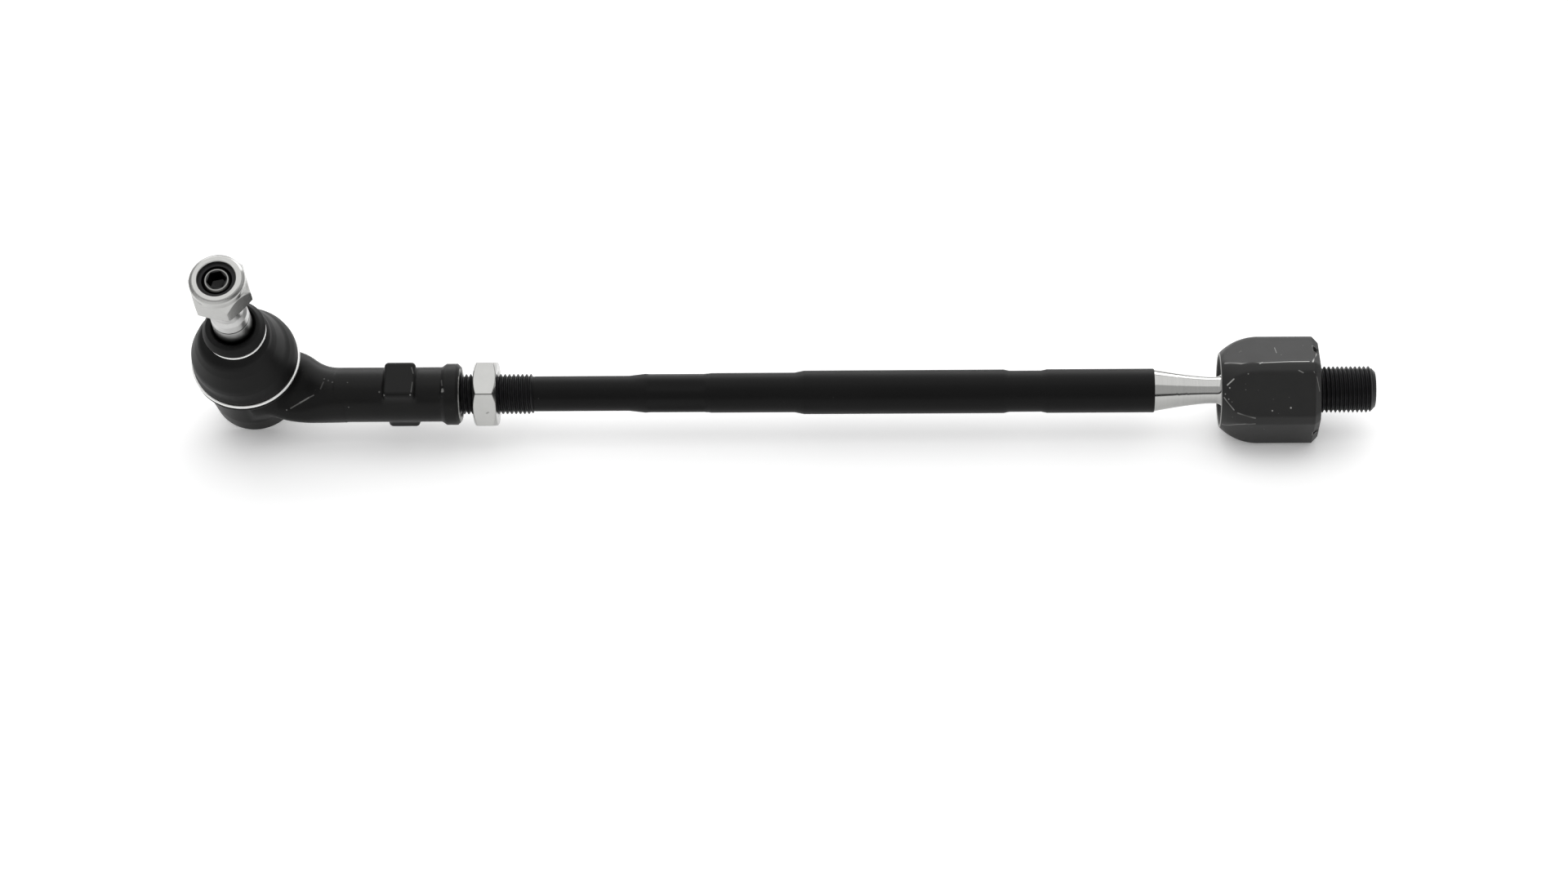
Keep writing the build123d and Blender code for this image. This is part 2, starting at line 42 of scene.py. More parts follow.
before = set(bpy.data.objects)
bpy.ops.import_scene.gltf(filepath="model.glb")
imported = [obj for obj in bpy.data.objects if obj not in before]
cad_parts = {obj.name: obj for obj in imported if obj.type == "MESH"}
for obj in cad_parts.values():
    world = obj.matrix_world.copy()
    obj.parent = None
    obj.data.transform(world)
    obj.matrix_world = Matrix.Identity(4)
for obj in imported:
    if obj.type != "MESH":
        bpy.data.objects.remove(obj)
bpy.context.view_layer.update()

# Camera: 36 degrees above the table with a long lens. Its place and its three angles, in degrees, were
# fitted to the photograph.
camera_data = bpy.data.cameras.new("camera")
camera_data.lens = 90.0
camera_data.sensor_width = 36.0
camera_data.clip_start = 0.05
camera_data.clip_end = 50.0
camera = bpy.data.objects.new("camera", camera_data)
bpy.context.scene.collection.objects.link(camera)
camera_place = Vector((-0.13804, -1.11134, 0.78148))
camera_azimuth = 2.400
camera_elevation = 35.800
camera_roll = -1.693
camera_turn = (Matrix.Rotation(radians(camera_azimuth), 4, "Z")
               @ Matrix.Rotation(radians(90 - camera_elevation), 4, "X")
               @ Matrix.Rotation(radians(camera_roll), 4, "Z"))
camera.matrix_world = Matrix.Translation(camera_place) @ camera_turn
bpy.context.scene.camera = camera
picture_width = 1920
picture_height = 1080


def corners(name):
    """The lowest and highest corner of a solid, in millimetres."""
    low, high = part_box(name)
    return low * 1000, high * 1000


# Places that come from the solids
socket_low, socket_high = corners("inner_socket")
rod_low, rod_high = corners("tie_rod")
jam_low, jam_high = corners("jam_nut")
housing_high = corners("outer_housing")[1]
ring_low, ring_high = corners("boot_lower_ring")
mouth_x = socket_low.x
rack_end_x = socket_high.x
floor_z = socket_low.z
rod_end_x = rod_low.x
sleeve_end_x = housing_high.x
pot_x = (ring_low.x + ring_high.x) / 2

# Inner joint
ball_radius = 14.0
ball_x = rod_high.x - ball_radius
socket_radius = 18.4
socket_flat = -floor_z
dome_x = ball_x - 0.6
cavity_radius = 15.3
throat_angle = 44.0
mouth_radius = 12.3
shoulder_radius = 16.3
rack_radius = 8.0

# Rod: the places where its sections meet, from the inner joint outwards
neck_radius = 4.6
neck_fillet = 2.6
neck_end_x = -56.2
groove_right_x = -95.1
groove_left_x = -106.1
main_left_x = -177.1
wrench_right_x = -210.4
wrench_left_x = -232.3
shank_right_x = -237.9
thread_start_x = -271.1
rod_radius = 7.575
groove_radius = 7.15
middle_radius = 6.9
shank_radius = 6.1
thread_radius = 7.0
pitch = 1.5

# Outer joint
side_offset = 8.8
sleeve_radius = 9.5
flare_radius = 10.65
pad_x = -316.9
pot_radius = 15.65
flange_radius = 16.95
pot_foot = -14.75
pot_bottom = -16.35
lean = radians(30)
stud_dir = Vector((0, -sin(lean), cos(lean)))
side_dir = Vector((0, cos(lean), sin(lean)))
pot_centre = Vector((pot_x, 0, 0)) + side_dir * side_offset

# Each axis: where it starts, its direction, and the direction that angles are counted from
rod_axis = (Vector((0, 0, 0)), Vector((1, 0, 0)), Vector((0, 1, 0)))
stud_axis = (pot_centre, stud_dir, Vector((1, 0, 0)))


# Profiles: points as (along the axis, distance from it)

def rounded(points, steps=5):
    """A profile whose corners are rounded where a point has a third number, the corner's radius."""
    profile = []
    for i, point in enumerate(points):
        here = Vector(point[:2])
        if len(point) == 2 or i in (0, len(points) - 1):
            profile.append(tuple(here))
            continue
        before = Vector(points[i - 1][:2]) - here
        after = Vector(points[i + 1][:2]) - here
        half_angle = before.angle(after) / 2
        reach = min(point[2] / np.tan(half_angle), 0.49 * before.length, 0.49 * after.length)
        first = here + before.normalized() * reach
        last = here + after.normalized() * reach
        for k in range(steps + 1):
            t = k / steps
            profile.append(tuple(first * (1 - t) ** 2 + here * 2 * t * (1 - t) + last * t * t))
    return profile


def divided(profile, step, low=-1e9, high=1e9):
    """The same profile with more points between two places along it."""
    fine = [profile[0]]
    for first, last in zip(profile[:-1], profile[1:]):
        inside = max(first[0], last[0]) > low and min(first[0], last[0]) < high
        length = (Vector(last) - Vector(first)).length
        parts = max(1, int(np.ceil(length / step))) if inside else 1
        fine += [tuple(Vector(first).lerp(Vector(last), k / parts)) for k in range(1, parts + 1)]
    return fine


def arc(centre, radius, first, last, steps, rise=0.0):
    """Points of a circle whose centre is on the axis or above it, with angles in degrees from the axis."""
    angles = np.radians(np.linspace(first, last, steps + 1))
    return [(centre + radius * cos(t), rise + radius * sin(t)) for t in angles]


# Cross sections

def smooth_min(a, b, blend):
    share = np.clip(0.5 + 0.5 * (b - a) / blend, 0, 1)
    return b * (1 - share) + a * share - blend * share * (1 - share)


def smooth_max(a, b, blend):
    return -smooth_min(-a, -b, blend)


def hexagon(flat, corner, theta):
    """How far a hexagon's side is from the axis, with one corner at an angle in degrees."""
    from_corner = (theta - radians(corner)) % (pi / 3)
    return flat / np.cos(from_corner - pi / 6)


def thread(radius, along, theta, depth=0.9):
    """The radius of a right-hand thread with flattened crests."""
    phase = (along / pitch - theta / (2 * pi)) % 1.0
    from_crest = np.abs(phase - 0.5) * 2
    sharp_height = 0.866 * pitch
    return radius - np.clip(from_crest * sharp_height - sharp_height / 8, 0, depth)


# Meshes

def spun(profile, axis, steps, closed=False, start=0.0):
    """A bmesh of a profile that is spun all the way round an axis, from a start angle in degrees."""
    origin, direction, zero = axis
    outward = Matrix.Rotation(radians(start), 3, direction) @ zero
    bm = bmesh.new()
    verts = [bm.verts.new(origin + direction * along + outward * radius) for along, radius in profile]
    ends = zip(verts, verts[1:] + verts[:1]) if closed else zip(verts[:-1], verts[1:])
    edges = [bm.edges.new(pair) for pair in ends]
    bmesh.ops.spin(bm, geom=verts + edges, cent=origin, axis=direction, angle=2 * pi, steps=steps,
                   use_merge=True)
    bmesh.ops.remove_doubles(bm, verts=bm.verts, dist=0.002)
    return bm


def reshape(bm, axis, shape):
    """Moves each vertex to the distance from the axis that shape gives for its place and angle."""
    origin, direction, zero = (np.array(v) for v in axis)
    second = np.cross(direction, zero)
    points = np.array([vert.co for vert in bm.verts]) - origin
    along = points @ direction
    across = points @ zero
    upward = points @ second
    radius = np.hypot(across, upward)
    theta = np.arctan2(upward, across)
    scale = np.maximum(shape(along, radius, theta), 0) / np.maximum(radius, 1e-6)
    moved = (origin + along[:, None] * direction + (scale * across)[:, None] * zero
             + (scale * upward)[:, None] * second)
    for vert, place in zip(bm.verts, moved):
        vert.co = place
    return bm


def piece(name, bm, sharp=35):
    """The finished object, in metres: smooth apart from edges sharper than an angle in degrees."""
    bmesh.ops.dissolve_degenerate(bm, edges=bm.edges, dist=0.0005)
    bmesh.ops.recalc_face_normals(bm, faces=bm.faces)
    bmesh.ops.scale(bm, vec=(0.001, 0.001, 0.001), verts=bm.verts)
    for face in bm.faces:
        face.smooth = True
    for edge in bm.edges:
        edge.smooth = len(edge.link_faces) != 2 or edge.calc_face_angle(0) < radians(sharp)
    mesh = bpy.data.meshes.new(name)
    bm.to_mesh(mesh)
    bm.free()
    obj = bpy.data.objects.new(name, mesh)
    bpy.context.scene.collection.objects.link(obj)
    return obj


def dress(obj, material, slot, body, *nodes):
    """Gives a piece its material and its body, and hides the solids that it stands for."""
    obj.data.materials.append(material)
    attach(obj, body)
    if nodes:
        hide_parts(*nodes)


# Materials

def colour(text):
    """A linear colour from an sRGB hex value."""
    parts = [int(text[i:i + 2], 16) / 255 for i in (0, 2, 4)]
    linear = [p / 12.92 if p <= 0.04045 else ((p + 0.055) / 1.055) ** 2.4 for p in parts]
    return (*linear, 1.0)


def node(tree, kind, inputs, **settings):
    """Adds a node with its settings, and links or sets its inputs. Gives its first output in use."""
    made = tree.nodes.new("ShaderNode" + kind)
    for key, value in settings.items():
        setattr(made, key, value)
    for key, value in inputs.items():
        if isinstance(value, bpy.types.NodeSocket):
            tree.links.new(value, made.inputs[key])
        else:
            made.inputs[key].default_value = value
    return next(socket for socket in made.outputs if socket.enabled)


def finish(name, look, **sockets):
    """A material whose look function gives the shader's linked inputs. The rest are plain numbers."""
    made = bpy.data.materials.new(name)
    made.use_nodes = True
    tree = made.node_tree
    shader = next(n for n in tree.nodes if n.type == "BSDF_PRINCIPLED")
    coordinates = tree.nodes.new("ShaderNodeTexCoord")
    for key, value in sockets.items():
        shader.inputs[key.replace("_", " ")].default_value = value
    for key, value in look(tree, coordinates.outputs["Object"]).items():
        tree.links.new(value, shader.inputs[key])
    return made


# A pixel of the photograph is about 0.28 mm on the part. Real grain, crystals and turning lines are
# finer, so they are drawn coarser, at 0.25 to 0.6 mm.

def per_metre(size):
    """The scale of a pattern whose marks are a size in millimetres."""
    return 1000.0 / size


def sparse(tree, place, size, share):
    """A mask of marks of a size in millimetres that cover only a small share of the surface."""
    field = node(tree, "TexNoise", {"Vector": place, "Scale": per_metre(size), "Detail": 2.0})
    low = 0.78 - share
    return node(tree, "MapRange", {"Value": field, "From Min": low, "From Max": low + 0.035})


def strokes(tree, place, marks):
    """A mask of lines and dots, each given as its two ends and its width in millimetres, and its strength.
    """
    mask = 0.0
    for first, last, width, strength in marks:
        run = last - first
        start = first / 1000
        local = node(tree, "VectorMath", {0: place, 1: start}, operation="SUBTRACT")
        share = node(tree, "VectorMath", {0: local, 1: run * 1000 / max(run.length_squared, 1e-6)},
                     operation="DOT_PRODUCT")
        share = node(tree, "Math", {0: share, 1: 0.0}, operation="ADD", use_clamp=True)
        nearest = node(tree, "VectorMath", {0: run / 1000, "Scale": share}, operation="SCALE")
        away = node(tree, "VectorMath", {0: local, 1: nearest}, operation="DISTANCE")
        line = node(tree, "MapRange", {"Value": away, "From Min": width / 1000, "From Max": width / 3000,
                                       "To Max": strength})
        mask = node(tree, "Math", {0: mask, 1: line}, operation="MAXIMUM")
    return mask


def forged_black_look(tree, place):
    """Dip-painted forging: satin black over an uneven blasted skin, bare where the sleeve's end is cut, with
    rubbed specks and painted highlights along its crease, pad edges and flare.
    """
    skin = node(tree, "TexNoise", {"Vector": place, "Scale": per_metre(6.0), "Detail": 3.0})
    grit = node(tree, "TexNoise", {"Vector": place, "Scale": per_metre(0.45), "Detail": 3.0})
    black = node(tree, "Mix", {0: skin, 6: colour("0d0d0d"), 7: colour("151514")}, data_type="RGBA")
    # Pale marks: rubbed specks and scratches, and painted highlights along the arm's crease, round the pad
    # and at the flare's start
    pale_marks = node(tree, "Math", {0: sparse(tree, place, 1.1, 0.02), 1: 0.30}, operation="MULTIPLY")
    pale_marks = node(tree, "Math", {0: pale_marks, 1: strokes(tree, place, forging_wear_and_highlight_marks)}, operation="MAXIMUM")
    black = node(tree, "Mix", {0: pale_marks, 6: black, 7: colour("8c8c8a")}, data_type="RGBA")
    along = node(tree, "SeparateXYZ", {"Vector": place})
    cut = node(tree, "MapRange", {"Value": along, "From Min": (sleeve_end_x - 0.30) / 1000,
                                  "From Max": (sleeve_end_x - 0.12) / 1000})
    bare = node(tree, "MapRange", {"Value": skin, "From Min": 0.44, "From Max": 0.56, "To Min": 0.12})
    cut = node(tree, "Math", {0: cut, 1: bare}, operation="MULTIPLY")
    rough = node(tree, "MapRange", {"Value": skin, "To Min": 0.34, "To Max": 0.46})
    coarse = node(tree, "Bump", {"Height": skin, "Strength": 0.5, "Distance": 0.00010})
    return {
        "Base Color": node(tree, "Mix", {0: cut, 6: black, 7: colour("cfcfcc")}, data_type="RGBA"),
        "Metallic": cut,
        "Roughness": rough,
        "Normal": node(tree, "Bump", {"Height": grit, "Strength": 0.35, "Distance": 0.00004,
                                      "Normal": coarse}),
    }


def turned_black_look(tree, place):
    """Dip-painted turned bar: smoother than the forging, with the lathe's lines just showing through."""
    round_it = node(tree, "Mapping", {"Vector": place, "Scale": (1.0, 0.03, 0.03)})
    lines = node(tree, "TexNoise", {"Vector": round_it, "Scale": per_metre(0.25), "Detail": 2.0})
    cloud = node(tree, "TexNoise", {"Vector": place, "Scale": per_metre(9.0), "Detail": 3.0})
    black = node(tree, "Mix", {0: cloud, 6: colour("0b0b0b"), 7: colour("111111")}, data_type="RGBA")
    pale_marks = node(tree, "Math", {0: sparse(tree, place, 1.3, 0.01), 1: 0.25}, operation="MULTIPLY")
    return {
        "Base Color": node(tree, "Mix", {0: pale_marks, 6: black, 7: colour("6e6e6c")}, data_type="RGBA"),
        "Roughness": node(tree, "MapRange", {"Value": cloud, "To Min": 0.40, "To Max": 0.48}),
        "Normal": node(tree, "Bump", {"Height": lines, "Strength": 0.12, "Distance": 0.00004}),
    }


def turned_bright_look(tree, place):
    """Bare turned steel of the rod's neck: mirror-like across, with fine lines running round it."""
    round_it = node(tree, "Mapping", {"Vector": place, "Scale": (1.0, 0.03, 0.03)})
    lines = node(tree, "TexNoise", {"Vector": round_it, "Scale": per_metre(0.35), "Detail": 2.0})
    return {
        "Base Color": node(tree, "Mix", {0: lines, 6: colour("a7a7a5"), 7: colour("b3b3b1")},
                           data_type="RGBA"),
        "Roughness": node(tree, "MapRange", {"Value": lines, "To Min": 0.09, "To Max": 0.14}),
        "Normal": node(tree, "Bump", {"Height": lines, "Strength": 0.05, "Distance": 0.00002}),
    }


def phosphate_look(tree, place):
    """Zinc phosphate on a machined hexagon: matt dark grey, cloudy, scratched and rubbed at its edges."""
    cloud = node(tree, "TexNoise", {"Vector": place, "Scale": per_metre(5.0), "Detail": 4.0,
                                    "Roughness": 0.6})
    crystal = node(tree, "TexNoise", {"Vector": place, "Scale": per_metre(0.35), "Detail": 3.0})
    grey = node(tree, "Mix", {0: cloud, 6: colour("151515"), 7: colour("1f1f1e")}, data_type="RGBA")
    soft = node(tree, "Bevel", {"Radius": 0.0005}, samples=8)
    hard = tree.nodes.new("ShaderNodeNewGeometry").outputs["Normal"]
    flatness = node(tree, "VectorMath", {0: soft, 1: hard}, operation="DOT_PRODUCT")
    edge = node(tree, "MapRange", {"Value": flatness, "From Min": 0.995, "From Max": 0.96, "To Max": 0.5})
    patchy = node(tree, "MapRange", {"Value": cloud, "From Min": 0.42, "From Max": 0.60})
    edge = node(tree, "Math", {0: edge, 1: patchy}, operation="MULTIPLY")
    pale_marks = node(tree, "Math", {0: sparse(tree, place, 0.9, 0.025), 1: 0.4}, operation="MULTIPLY")
    pale_marks = node(tree, "Math", {0: pale_marks, 1: edge}, operation="MAXIMUM")
    pale_marks = node(tree, "Math", {0: pale_marks, 1: strokes(tree, place, socket_marks)}, operation="MAXIMUM")
    along = node(tree, "SeparateXYZ", {"Vector": place})
    rim = node(tree, "MapRange", {"Value": along, "From Min": (mouth_x + 0.30) / 1000,
                                  "From Max": (mouth_x + 0.15) / 1000, "To Max": 0.8})
    pale_marks = node(tree, "Math", {0: pale_marks, 1: rim}, operation="MAXIMUM")
    return {
        "Base Color": node(tree, "Mix", {0: pale_marks, 6: grey, 7: colour("b4b4b2")}, data_type="RGBA"),
        "Metallic": pale_marks,
        "Roughness": node(tree, "MapRange", {"Value": cloud, "To Min": 0.38, "To Max": 0.52}),
        "Normal": node(tree, "Bump", {"Height": crystal, "Strength": 0.25, "Distance": 0.00004}),
    }


def black_oxide_look(tree, place):
    """Black oxide on rolled threads: nearly black, a little lighter where it is rubbed."""
    cloud = node(tree, "TexNoise", {"Vector": place, "Scale": per_metre(3.0), "Detail": 3.0})
    grain = node(tree, "TexNoise", {"Vector": place, "Scale": per_metre(0.3), "Detail": 2.0})
    return {
        "Base Color": node(tree, "Mix", {0: cloud, 6: colour("121213"), 7: colour("1c1c1d")},
                           data_type="RGBA"),
        "Roughness": node(tree, "MapRange", {"Value": cloud, "To Min": 0.36, "To Max": 0.48}),
        "Normal": node(tree, "Bump", {"Height": grain, "Strength": 0.1, "Distance": 0.00003}),
    }


def ground_steel_look(tree, place):
    """Ground steel of the ball stud: bright on its taper, with a painted reflection of the black boot near
    the boot and painted shade in its groove and at its tip.
    """
    haze = node(tree, "TexNoise", {"Vector": place, "Scale": per_metre(1.5), "Detail": 3.0})
    steel = node(tree, "Mix", {0: haze, 6: colour("bababa"), 7: colour("cacac8")}, data_type="RGBA")
    local = node(tree, "VectorMath", {0: place, 1: pot_centre / 1000}, operation="SUBTRACT")
    height = node(tree, "VectorMath", {0: local, 1: stud_dir}, operation="DOT_PRODUCT")
    on_axis = node(tree, "VectorMath", {0: stud_dir, "Scale": height}, operation="SCALE")
    away = node(tree, "VectorMath", {0: local, 1: on_axis}, operation="DISTANCE")
    # Painted reflection of the black boot: the steel turns nearly black towards the boot
    free_of_painted_boot_reflection = node(tree, "MapRange", {"Value": height, "From Min": 0.0385, "From Max": 0.0455,
                                    "To Min": 0.03})
    steel = node(tree, "Mix", {0: free_of_painted_boot_reflection, 6: colour("101010"), 7: steel}, data_type="RGBA")
    # Painted shade in the groove
    groove = node(tree, "Math", {0: height, 1: 0.0445, 2: 0.0003}, operation="COMPARE")
    steel = node(tree, "Mix", {0: groove, 6: steel, 7: colour("1c1c1c")}, data_type="RGBA")
    # Painted shade at the tip: dark grey on its end, darker still in its hexagonal hole
    tip = node(tree, "MapRange", {"Value": height, "From Min": 0.0600, "From Max": 0.0610})
    rim = node(tree, "MapRange", {"Value": away, "From Min": 0.0035, "From Max": 0.0037})
    painted_tip_shade = node(tree, "Mix", {0: rim, 6: colour("343434"), 7: colour("8a8a88")}, data_type="RGBA")
    return {
        "Base Color": node(tree, "Mix", {0: tip, 6: steel, 7: painted_tip_shade}, data_type="RGBA"),
        "Roughness": node(tree, "MapRange", {"Value": haze, "To Min": 0.26, "To Max": 0.34}),
        "Normal": node(tree, "Bump", {"Height": haze, "Strength": 0.04, "Distance": 0.00003}),
    }


def zinc_look(tree, place):
    """Clear zinc plate on the nuts: bright silver, softly clouded, with a painted dark reflection along the
    thin nut's near corner and a smudge on its lower flat.
    """
    cloud = node(tree, "TexNoise", {"Vector": place, "Scale": per_metre(3.5), "Detail": 4.0})
    grain = node(tree, "TexNoise", {"Vector": place, "Scale": per_metre(0.4), "Detail": 3.0})
    plate = node(tree, "Mix", {0: cloud, 6: colour("aeaeac"), 7: colour("b8b8b6")}, data_type="RGBA")
    # Painted dark reflection along the thin nut's near corner, and a real smudge on its lower flat
    dirt_and_painted_reflection = strokes(tree, place, nut_dirt_and_reflection_marks)
    return {
        "Base Color": node(tree, "Mix", {0: dirt_and_painted_reflection, 6: plate, 7: colour("2a2a28")}, data_type="RGBA"),
        "Roughness": node(tree, "MapRange", {"Value": cloud, "To Min": 0.20, "To Max": 0.26}),
        "Normal": node(tree, "Bump", {"Height": grain, "Strength": 0.04, "Distance": 0.00002}),
    }


def spring_wire_look(tree, place):
    """Bright drawn wire of the boot's rings."""
    grain = node(tree, "TexNoise", {"Vector": place, "Scale": per_metre(0.6), "Detail": 2.0})
    return {
        "Base Color": node(tree, "Mix", {0: grain, 6: colour("f0f0ee"), 7: colour("fbfbfa")},
                           data_type="RGBA"),
        "Roughness": node(tree, "MapRange", {"Value": grain, "To Min": 0.35, "To Max": 0.5}),
    }


def rubber_look(tree, place):
    """Moulded chloroprene rubber: deep black with a soft shine."""
    cloud = node(tree, "TexNoise", {"Vector": place, "Scale": per_metre(7.0), "Detail": 3.0})
    grain = node(tree, "TexNoise", {"Vector": place, "Scale": per_metre(0.3), "Detail": 3.0})
    return {
        "Base Color": node(tree, "Mix", {0: cloud, 6: colour("0b0b0b"), 7: colour("111111")},
                           data_type="RGBA"),
        "Roughness": node(tree, "MapRange", {"Value": cloud, "To Min": 0.44, "To Max": 0.54}),
        "Normal": node(tree, "Bump", {"Height": grain, "Strength": 0.12, "Distance": 0.00003}),
    }


def nylon_look(tree, place):
    """Moulded black nylon of the nut's locking ring."""
    cloud = node(tree, "TexNoise", {"Vector": place, "Scale": per_metre(2.0), "Detail": 2.0})
    return {
        "Base Color": node(tree, "Mix", {0: cloud, 6: colour("0c0c0d"), 7: colour("141415")},
                           data_type="RGBA"),
        "Roughness": node(tree, "MapRange", {"Value": cloud, "To Min": 0.32, "To Max": 0.42}),
    }


def acetal_look(tree, place):
    """Natural acetal of the ball seats: off-white and waxy."""
    cloud = node(tree, "TexNoise", {"Vector": place, "Scale": per_metre(2.5), "Detail": 2.0})
    return {
        "Base Color": node(tree, "Mix", {0: cloud, 6: colour("dedcd4"), 7: colour("e8e6df")},
                           data_type="RGBA"),
        "Roughness": node(tree, "MapRange", {"Value": cloud, "To Min": 0.35, "To Max": 0.45}),
    }


# Wear and painted highlights, read off the photograph: its two ends in pixels, its width in millimetres, its
# strength
# On the forging the crease lines, the marks round the pad and the mark above the nick are painted
# highlights; the rest are wear
forging_wear_and_highlights = {
    "bare_nick_on_sleeve": ((541.6, 477.3), (541.6, 479.0), 0.7, 0.7),
    "flare_edge_highlight_above_the_nick": ((540.5, 466.0), (541.2, 472.0), 0.4, 0.25),
    "crease_highlight_near_the_pot": ((356.0, 500.0), (367.0, 493.5), 0.3, 0.45),
    "crease_highlight_middle": ((367.0, 493.5), (378.0, 487.0), 0.35, 0.7),
    "crease_highlight_far_end": ((378.0, 487.0), (384.0, 484.0), 0.3, 0.4),
    "speck_before_the_arm_line": ((351.0, 502.0), (351.0, 502.0), 0.35, 0.8),
    "speck_at_the_pot": ((339.0, 511.0), (339.0, 511.0), 0.35, 0.6),
    "first_speck_on_the_arm": ((397.0, 464.0), (397.0, 464.0), 0.4, 0.3),
    "second_speck_on_the_arm": ((402.0, 466.0), (402.0, 466.0), 0.4, 0.25),
    "third_speck_on_the_arm": ((407.0, 468.0), (407.0, 468.0), 0.4, 0.3),
    "speck_at_mid_arm": ((425.5, 468.4), (425.5, 468.4), 0.3, 0.3),
    "speck_low_on_the_arm": ((426.9, 498.7), (426.9, 498.7), 0.35, 0.35),
    "rub_across_the_arm": ((392.5, 476.0), (396.0, 468.0), 0.35, 0.2),
    "highlight_at_the_pad_left_foot": ((470.2, 484.0), (470.2, 484.0), 0.4, 0.8),
    "highlight_at_the_pad_right_foot": ((502.3, 483.6), (502.3, 483.6), 0.4, 0.8),
    "highlight_left_of_the_pad": ((464.4, 480.0), (464.4, 480.0), 0.4, 0.5),
    "pad_edge_highlight_upper": ((504.0, 450.0), (505.9, 457.0), 0.25, 0.4),
    "pad_edge_highlight_lower": ((505.0, 468.0), (503.2, 480.0), 0.25, 0.3),
}
nut_wear = {
    "speck_on_the_lower_flat": ((596.0, 506.0), (598.0, 505.0), 0.4, 0.45),
}
nut_corner_radius = 12.53
socket_wear = {
    "cross_at_the_mouth": ((1502.9, 471.6), (1510.8, 464.2), 0.3, 1.0),
    "slash_below_the_cross": ((1499.0, 486.8), (1511.0, 502.0), 0.28, 0.5),
    "first_nick_by_the_mouth": ((1505.8, 475.0), (1505.8, 475.0), 0.35, 0.9),
    "second_nick_by_the_mouth": ((1500.4, 482.5), (1500.4, 482.5), 0.3, 0.7),
    "third_nick_by_the_mouth": ((1504.6, 488.8), (1504.6, 488.8), 0.3, 0.7),
    "speck_on_the_dome": ((1528.5, 457.8), (1528.5, 457.8), 0.3, 0.5),
    "left_bright_speck": ((1558.0, 503.0), (1558.0, 503.0), 0.35, 0.8),
    "right_bright_speck": ((1580.7, 499.4), (1580.7, 499.4), 0.4, 1.0),
    "corner_on_the_dome": ((1500.0, 444.8), (1520.0, 445.3), 0.45, 0.4),
    "corner_left": ((1520.0, 445.3), (1545.0, 444.3), 0.3, 0.5),
    "corner_middle": ((1545.0, 444.3), (1580.0, 442.8), 0.25, 0.75),
    "corner_right": ((1580.0, 442.8), (1603.0, 442.6), 0.25, 0.9),
    "nick_in_the_corner": ((1542.8, 445.2), (1545.6, 443.8), 0.3, 0.8),
    "scratch_on_the_top_flat": ((1560.6, 425.8), (1563.0, 432.0), 0.2, 0.4),
    "lower_facet_by_the_mouth": ((1496.6, 519.7), (1505.0, 520.5), 0.3, 0.35),
    "lower_facet_left": ((1505.0, 520.5), (1515.0, 519.6), 0.3, 0.35),
    "lower_facet_middle": ((1515.0, 519.6), (1525.0, 519.2), 0.3, 0.4),
    "lower_facet_right": ((1525.0, 519.2), (1537.0, 519.0), 0.25, 0.3),
    "curved_slash": ((1515.8, 505.8), (1537.0, 512.0), 0.35, 0.3),
    "scratch_near_the_shoulder": ((1590.4, 453.6), (1595.8, 456.3), 0.25, 0.4),
    "shoulder_edge_above": ((1607.6, 443.0), (1612.0, 433.5), 0.35, 0.9),
    "shoulder_edge_upper": ((1609.0, 455.0), (1613.0, 463.0), 0.2, 0.35),
    "shoulder_edge_lower": ((1613.0, 463.0), (1616.0, 479.0), 0.2, 0.35),
}


def sight_line(pixel):
    """The direction from the photograph's camera through one of its pixels."""
    focal = picture_width * camera_data.lens / camera_data.sensor_width
    across = (pixel[0] - picture_width / 2) / focal
    up = (picture_height / 2 - pixel[1]) / focal
    return (camera_turn.to_3x3() @ Vector((across, up, -1.0))).normalized()


def marked(obj, listed_marks):
    """Marks whose ends are places on a piece's surface, in millimetres: rubbed places, smudges and painted
    highlights.
    """
    mesh = obj.data
    skin = BVHTree.FromPolygons([vert.co for vert in mesh.vertices],
                                [tuple(face.vertices) for face in mesh.polygons])
    marks = []
    for first, last, width, strength in listed_marks.values():
        ends = [skin.ray_cast(camera_place, sight_line(pixel))[0] * 1000 for pixel in (first, last)]
        marks.append((*ends, width, strength))
    return marks


# Inner joint

def inner_socket():
    """The hexagonal body: flats that bend in over the rolled mouth, two notches in its shoulder."""
    mouth_angle = degrees(acos((dome_x - mouth_x) / socket_radius))
    dome = arc(dome_x, socket_radius, 180 - mouth_angle, 90, 60)
    back = [dome[-1], (-2.1, socket_radius, 0.6), (-0.25, shoulder_radius + 0.2, 0.3),
            (0.0, shoulder_radius - 0.2), (0.0, 8.3, 0.2), (-0.3, 7.9)]
    room = arc(ball_x, cavity_radius, 0, 180 - throat_angle, 40)
    inside = [(ball_x + cavity_radius, 0.0)] + room[1:] + [(mouth_x, mouth_radius)]
    outside = dome[:-1] + rounded(back, 6)
    profile = divided(inside, 0.8) + divided(outside, 0.4) + [(-0.3, 0.0)]

    def shape(along, radius, theta):
        full_facet = acos(socket_flat / socket_radius)
        facet = full_facet * (1 - np.exp(-np.maximum(along - mouth_x, 0) / 2.4))
        bent = np.minimum(socket_flat, radius * np.cos(facet))
        outer = smooth_min(radius, hexagon(bent, 0, theta), 0.25)
        for notch_angle in (87, 210):
            away = np.abs((np.degrees(theta) - notch_angle + 180) % 360 - 180)
            notch = (away < 4.6) & (along > -2.2) & (radius > 13)
            outer = np.where(notch, np.minimum(outer, 14.9), outer)
        return np.where(radius > mouth_radius + 0.1, outer, radius)

    return reshape(spun(profile, rod_axis, 288), rod_axis, shape)


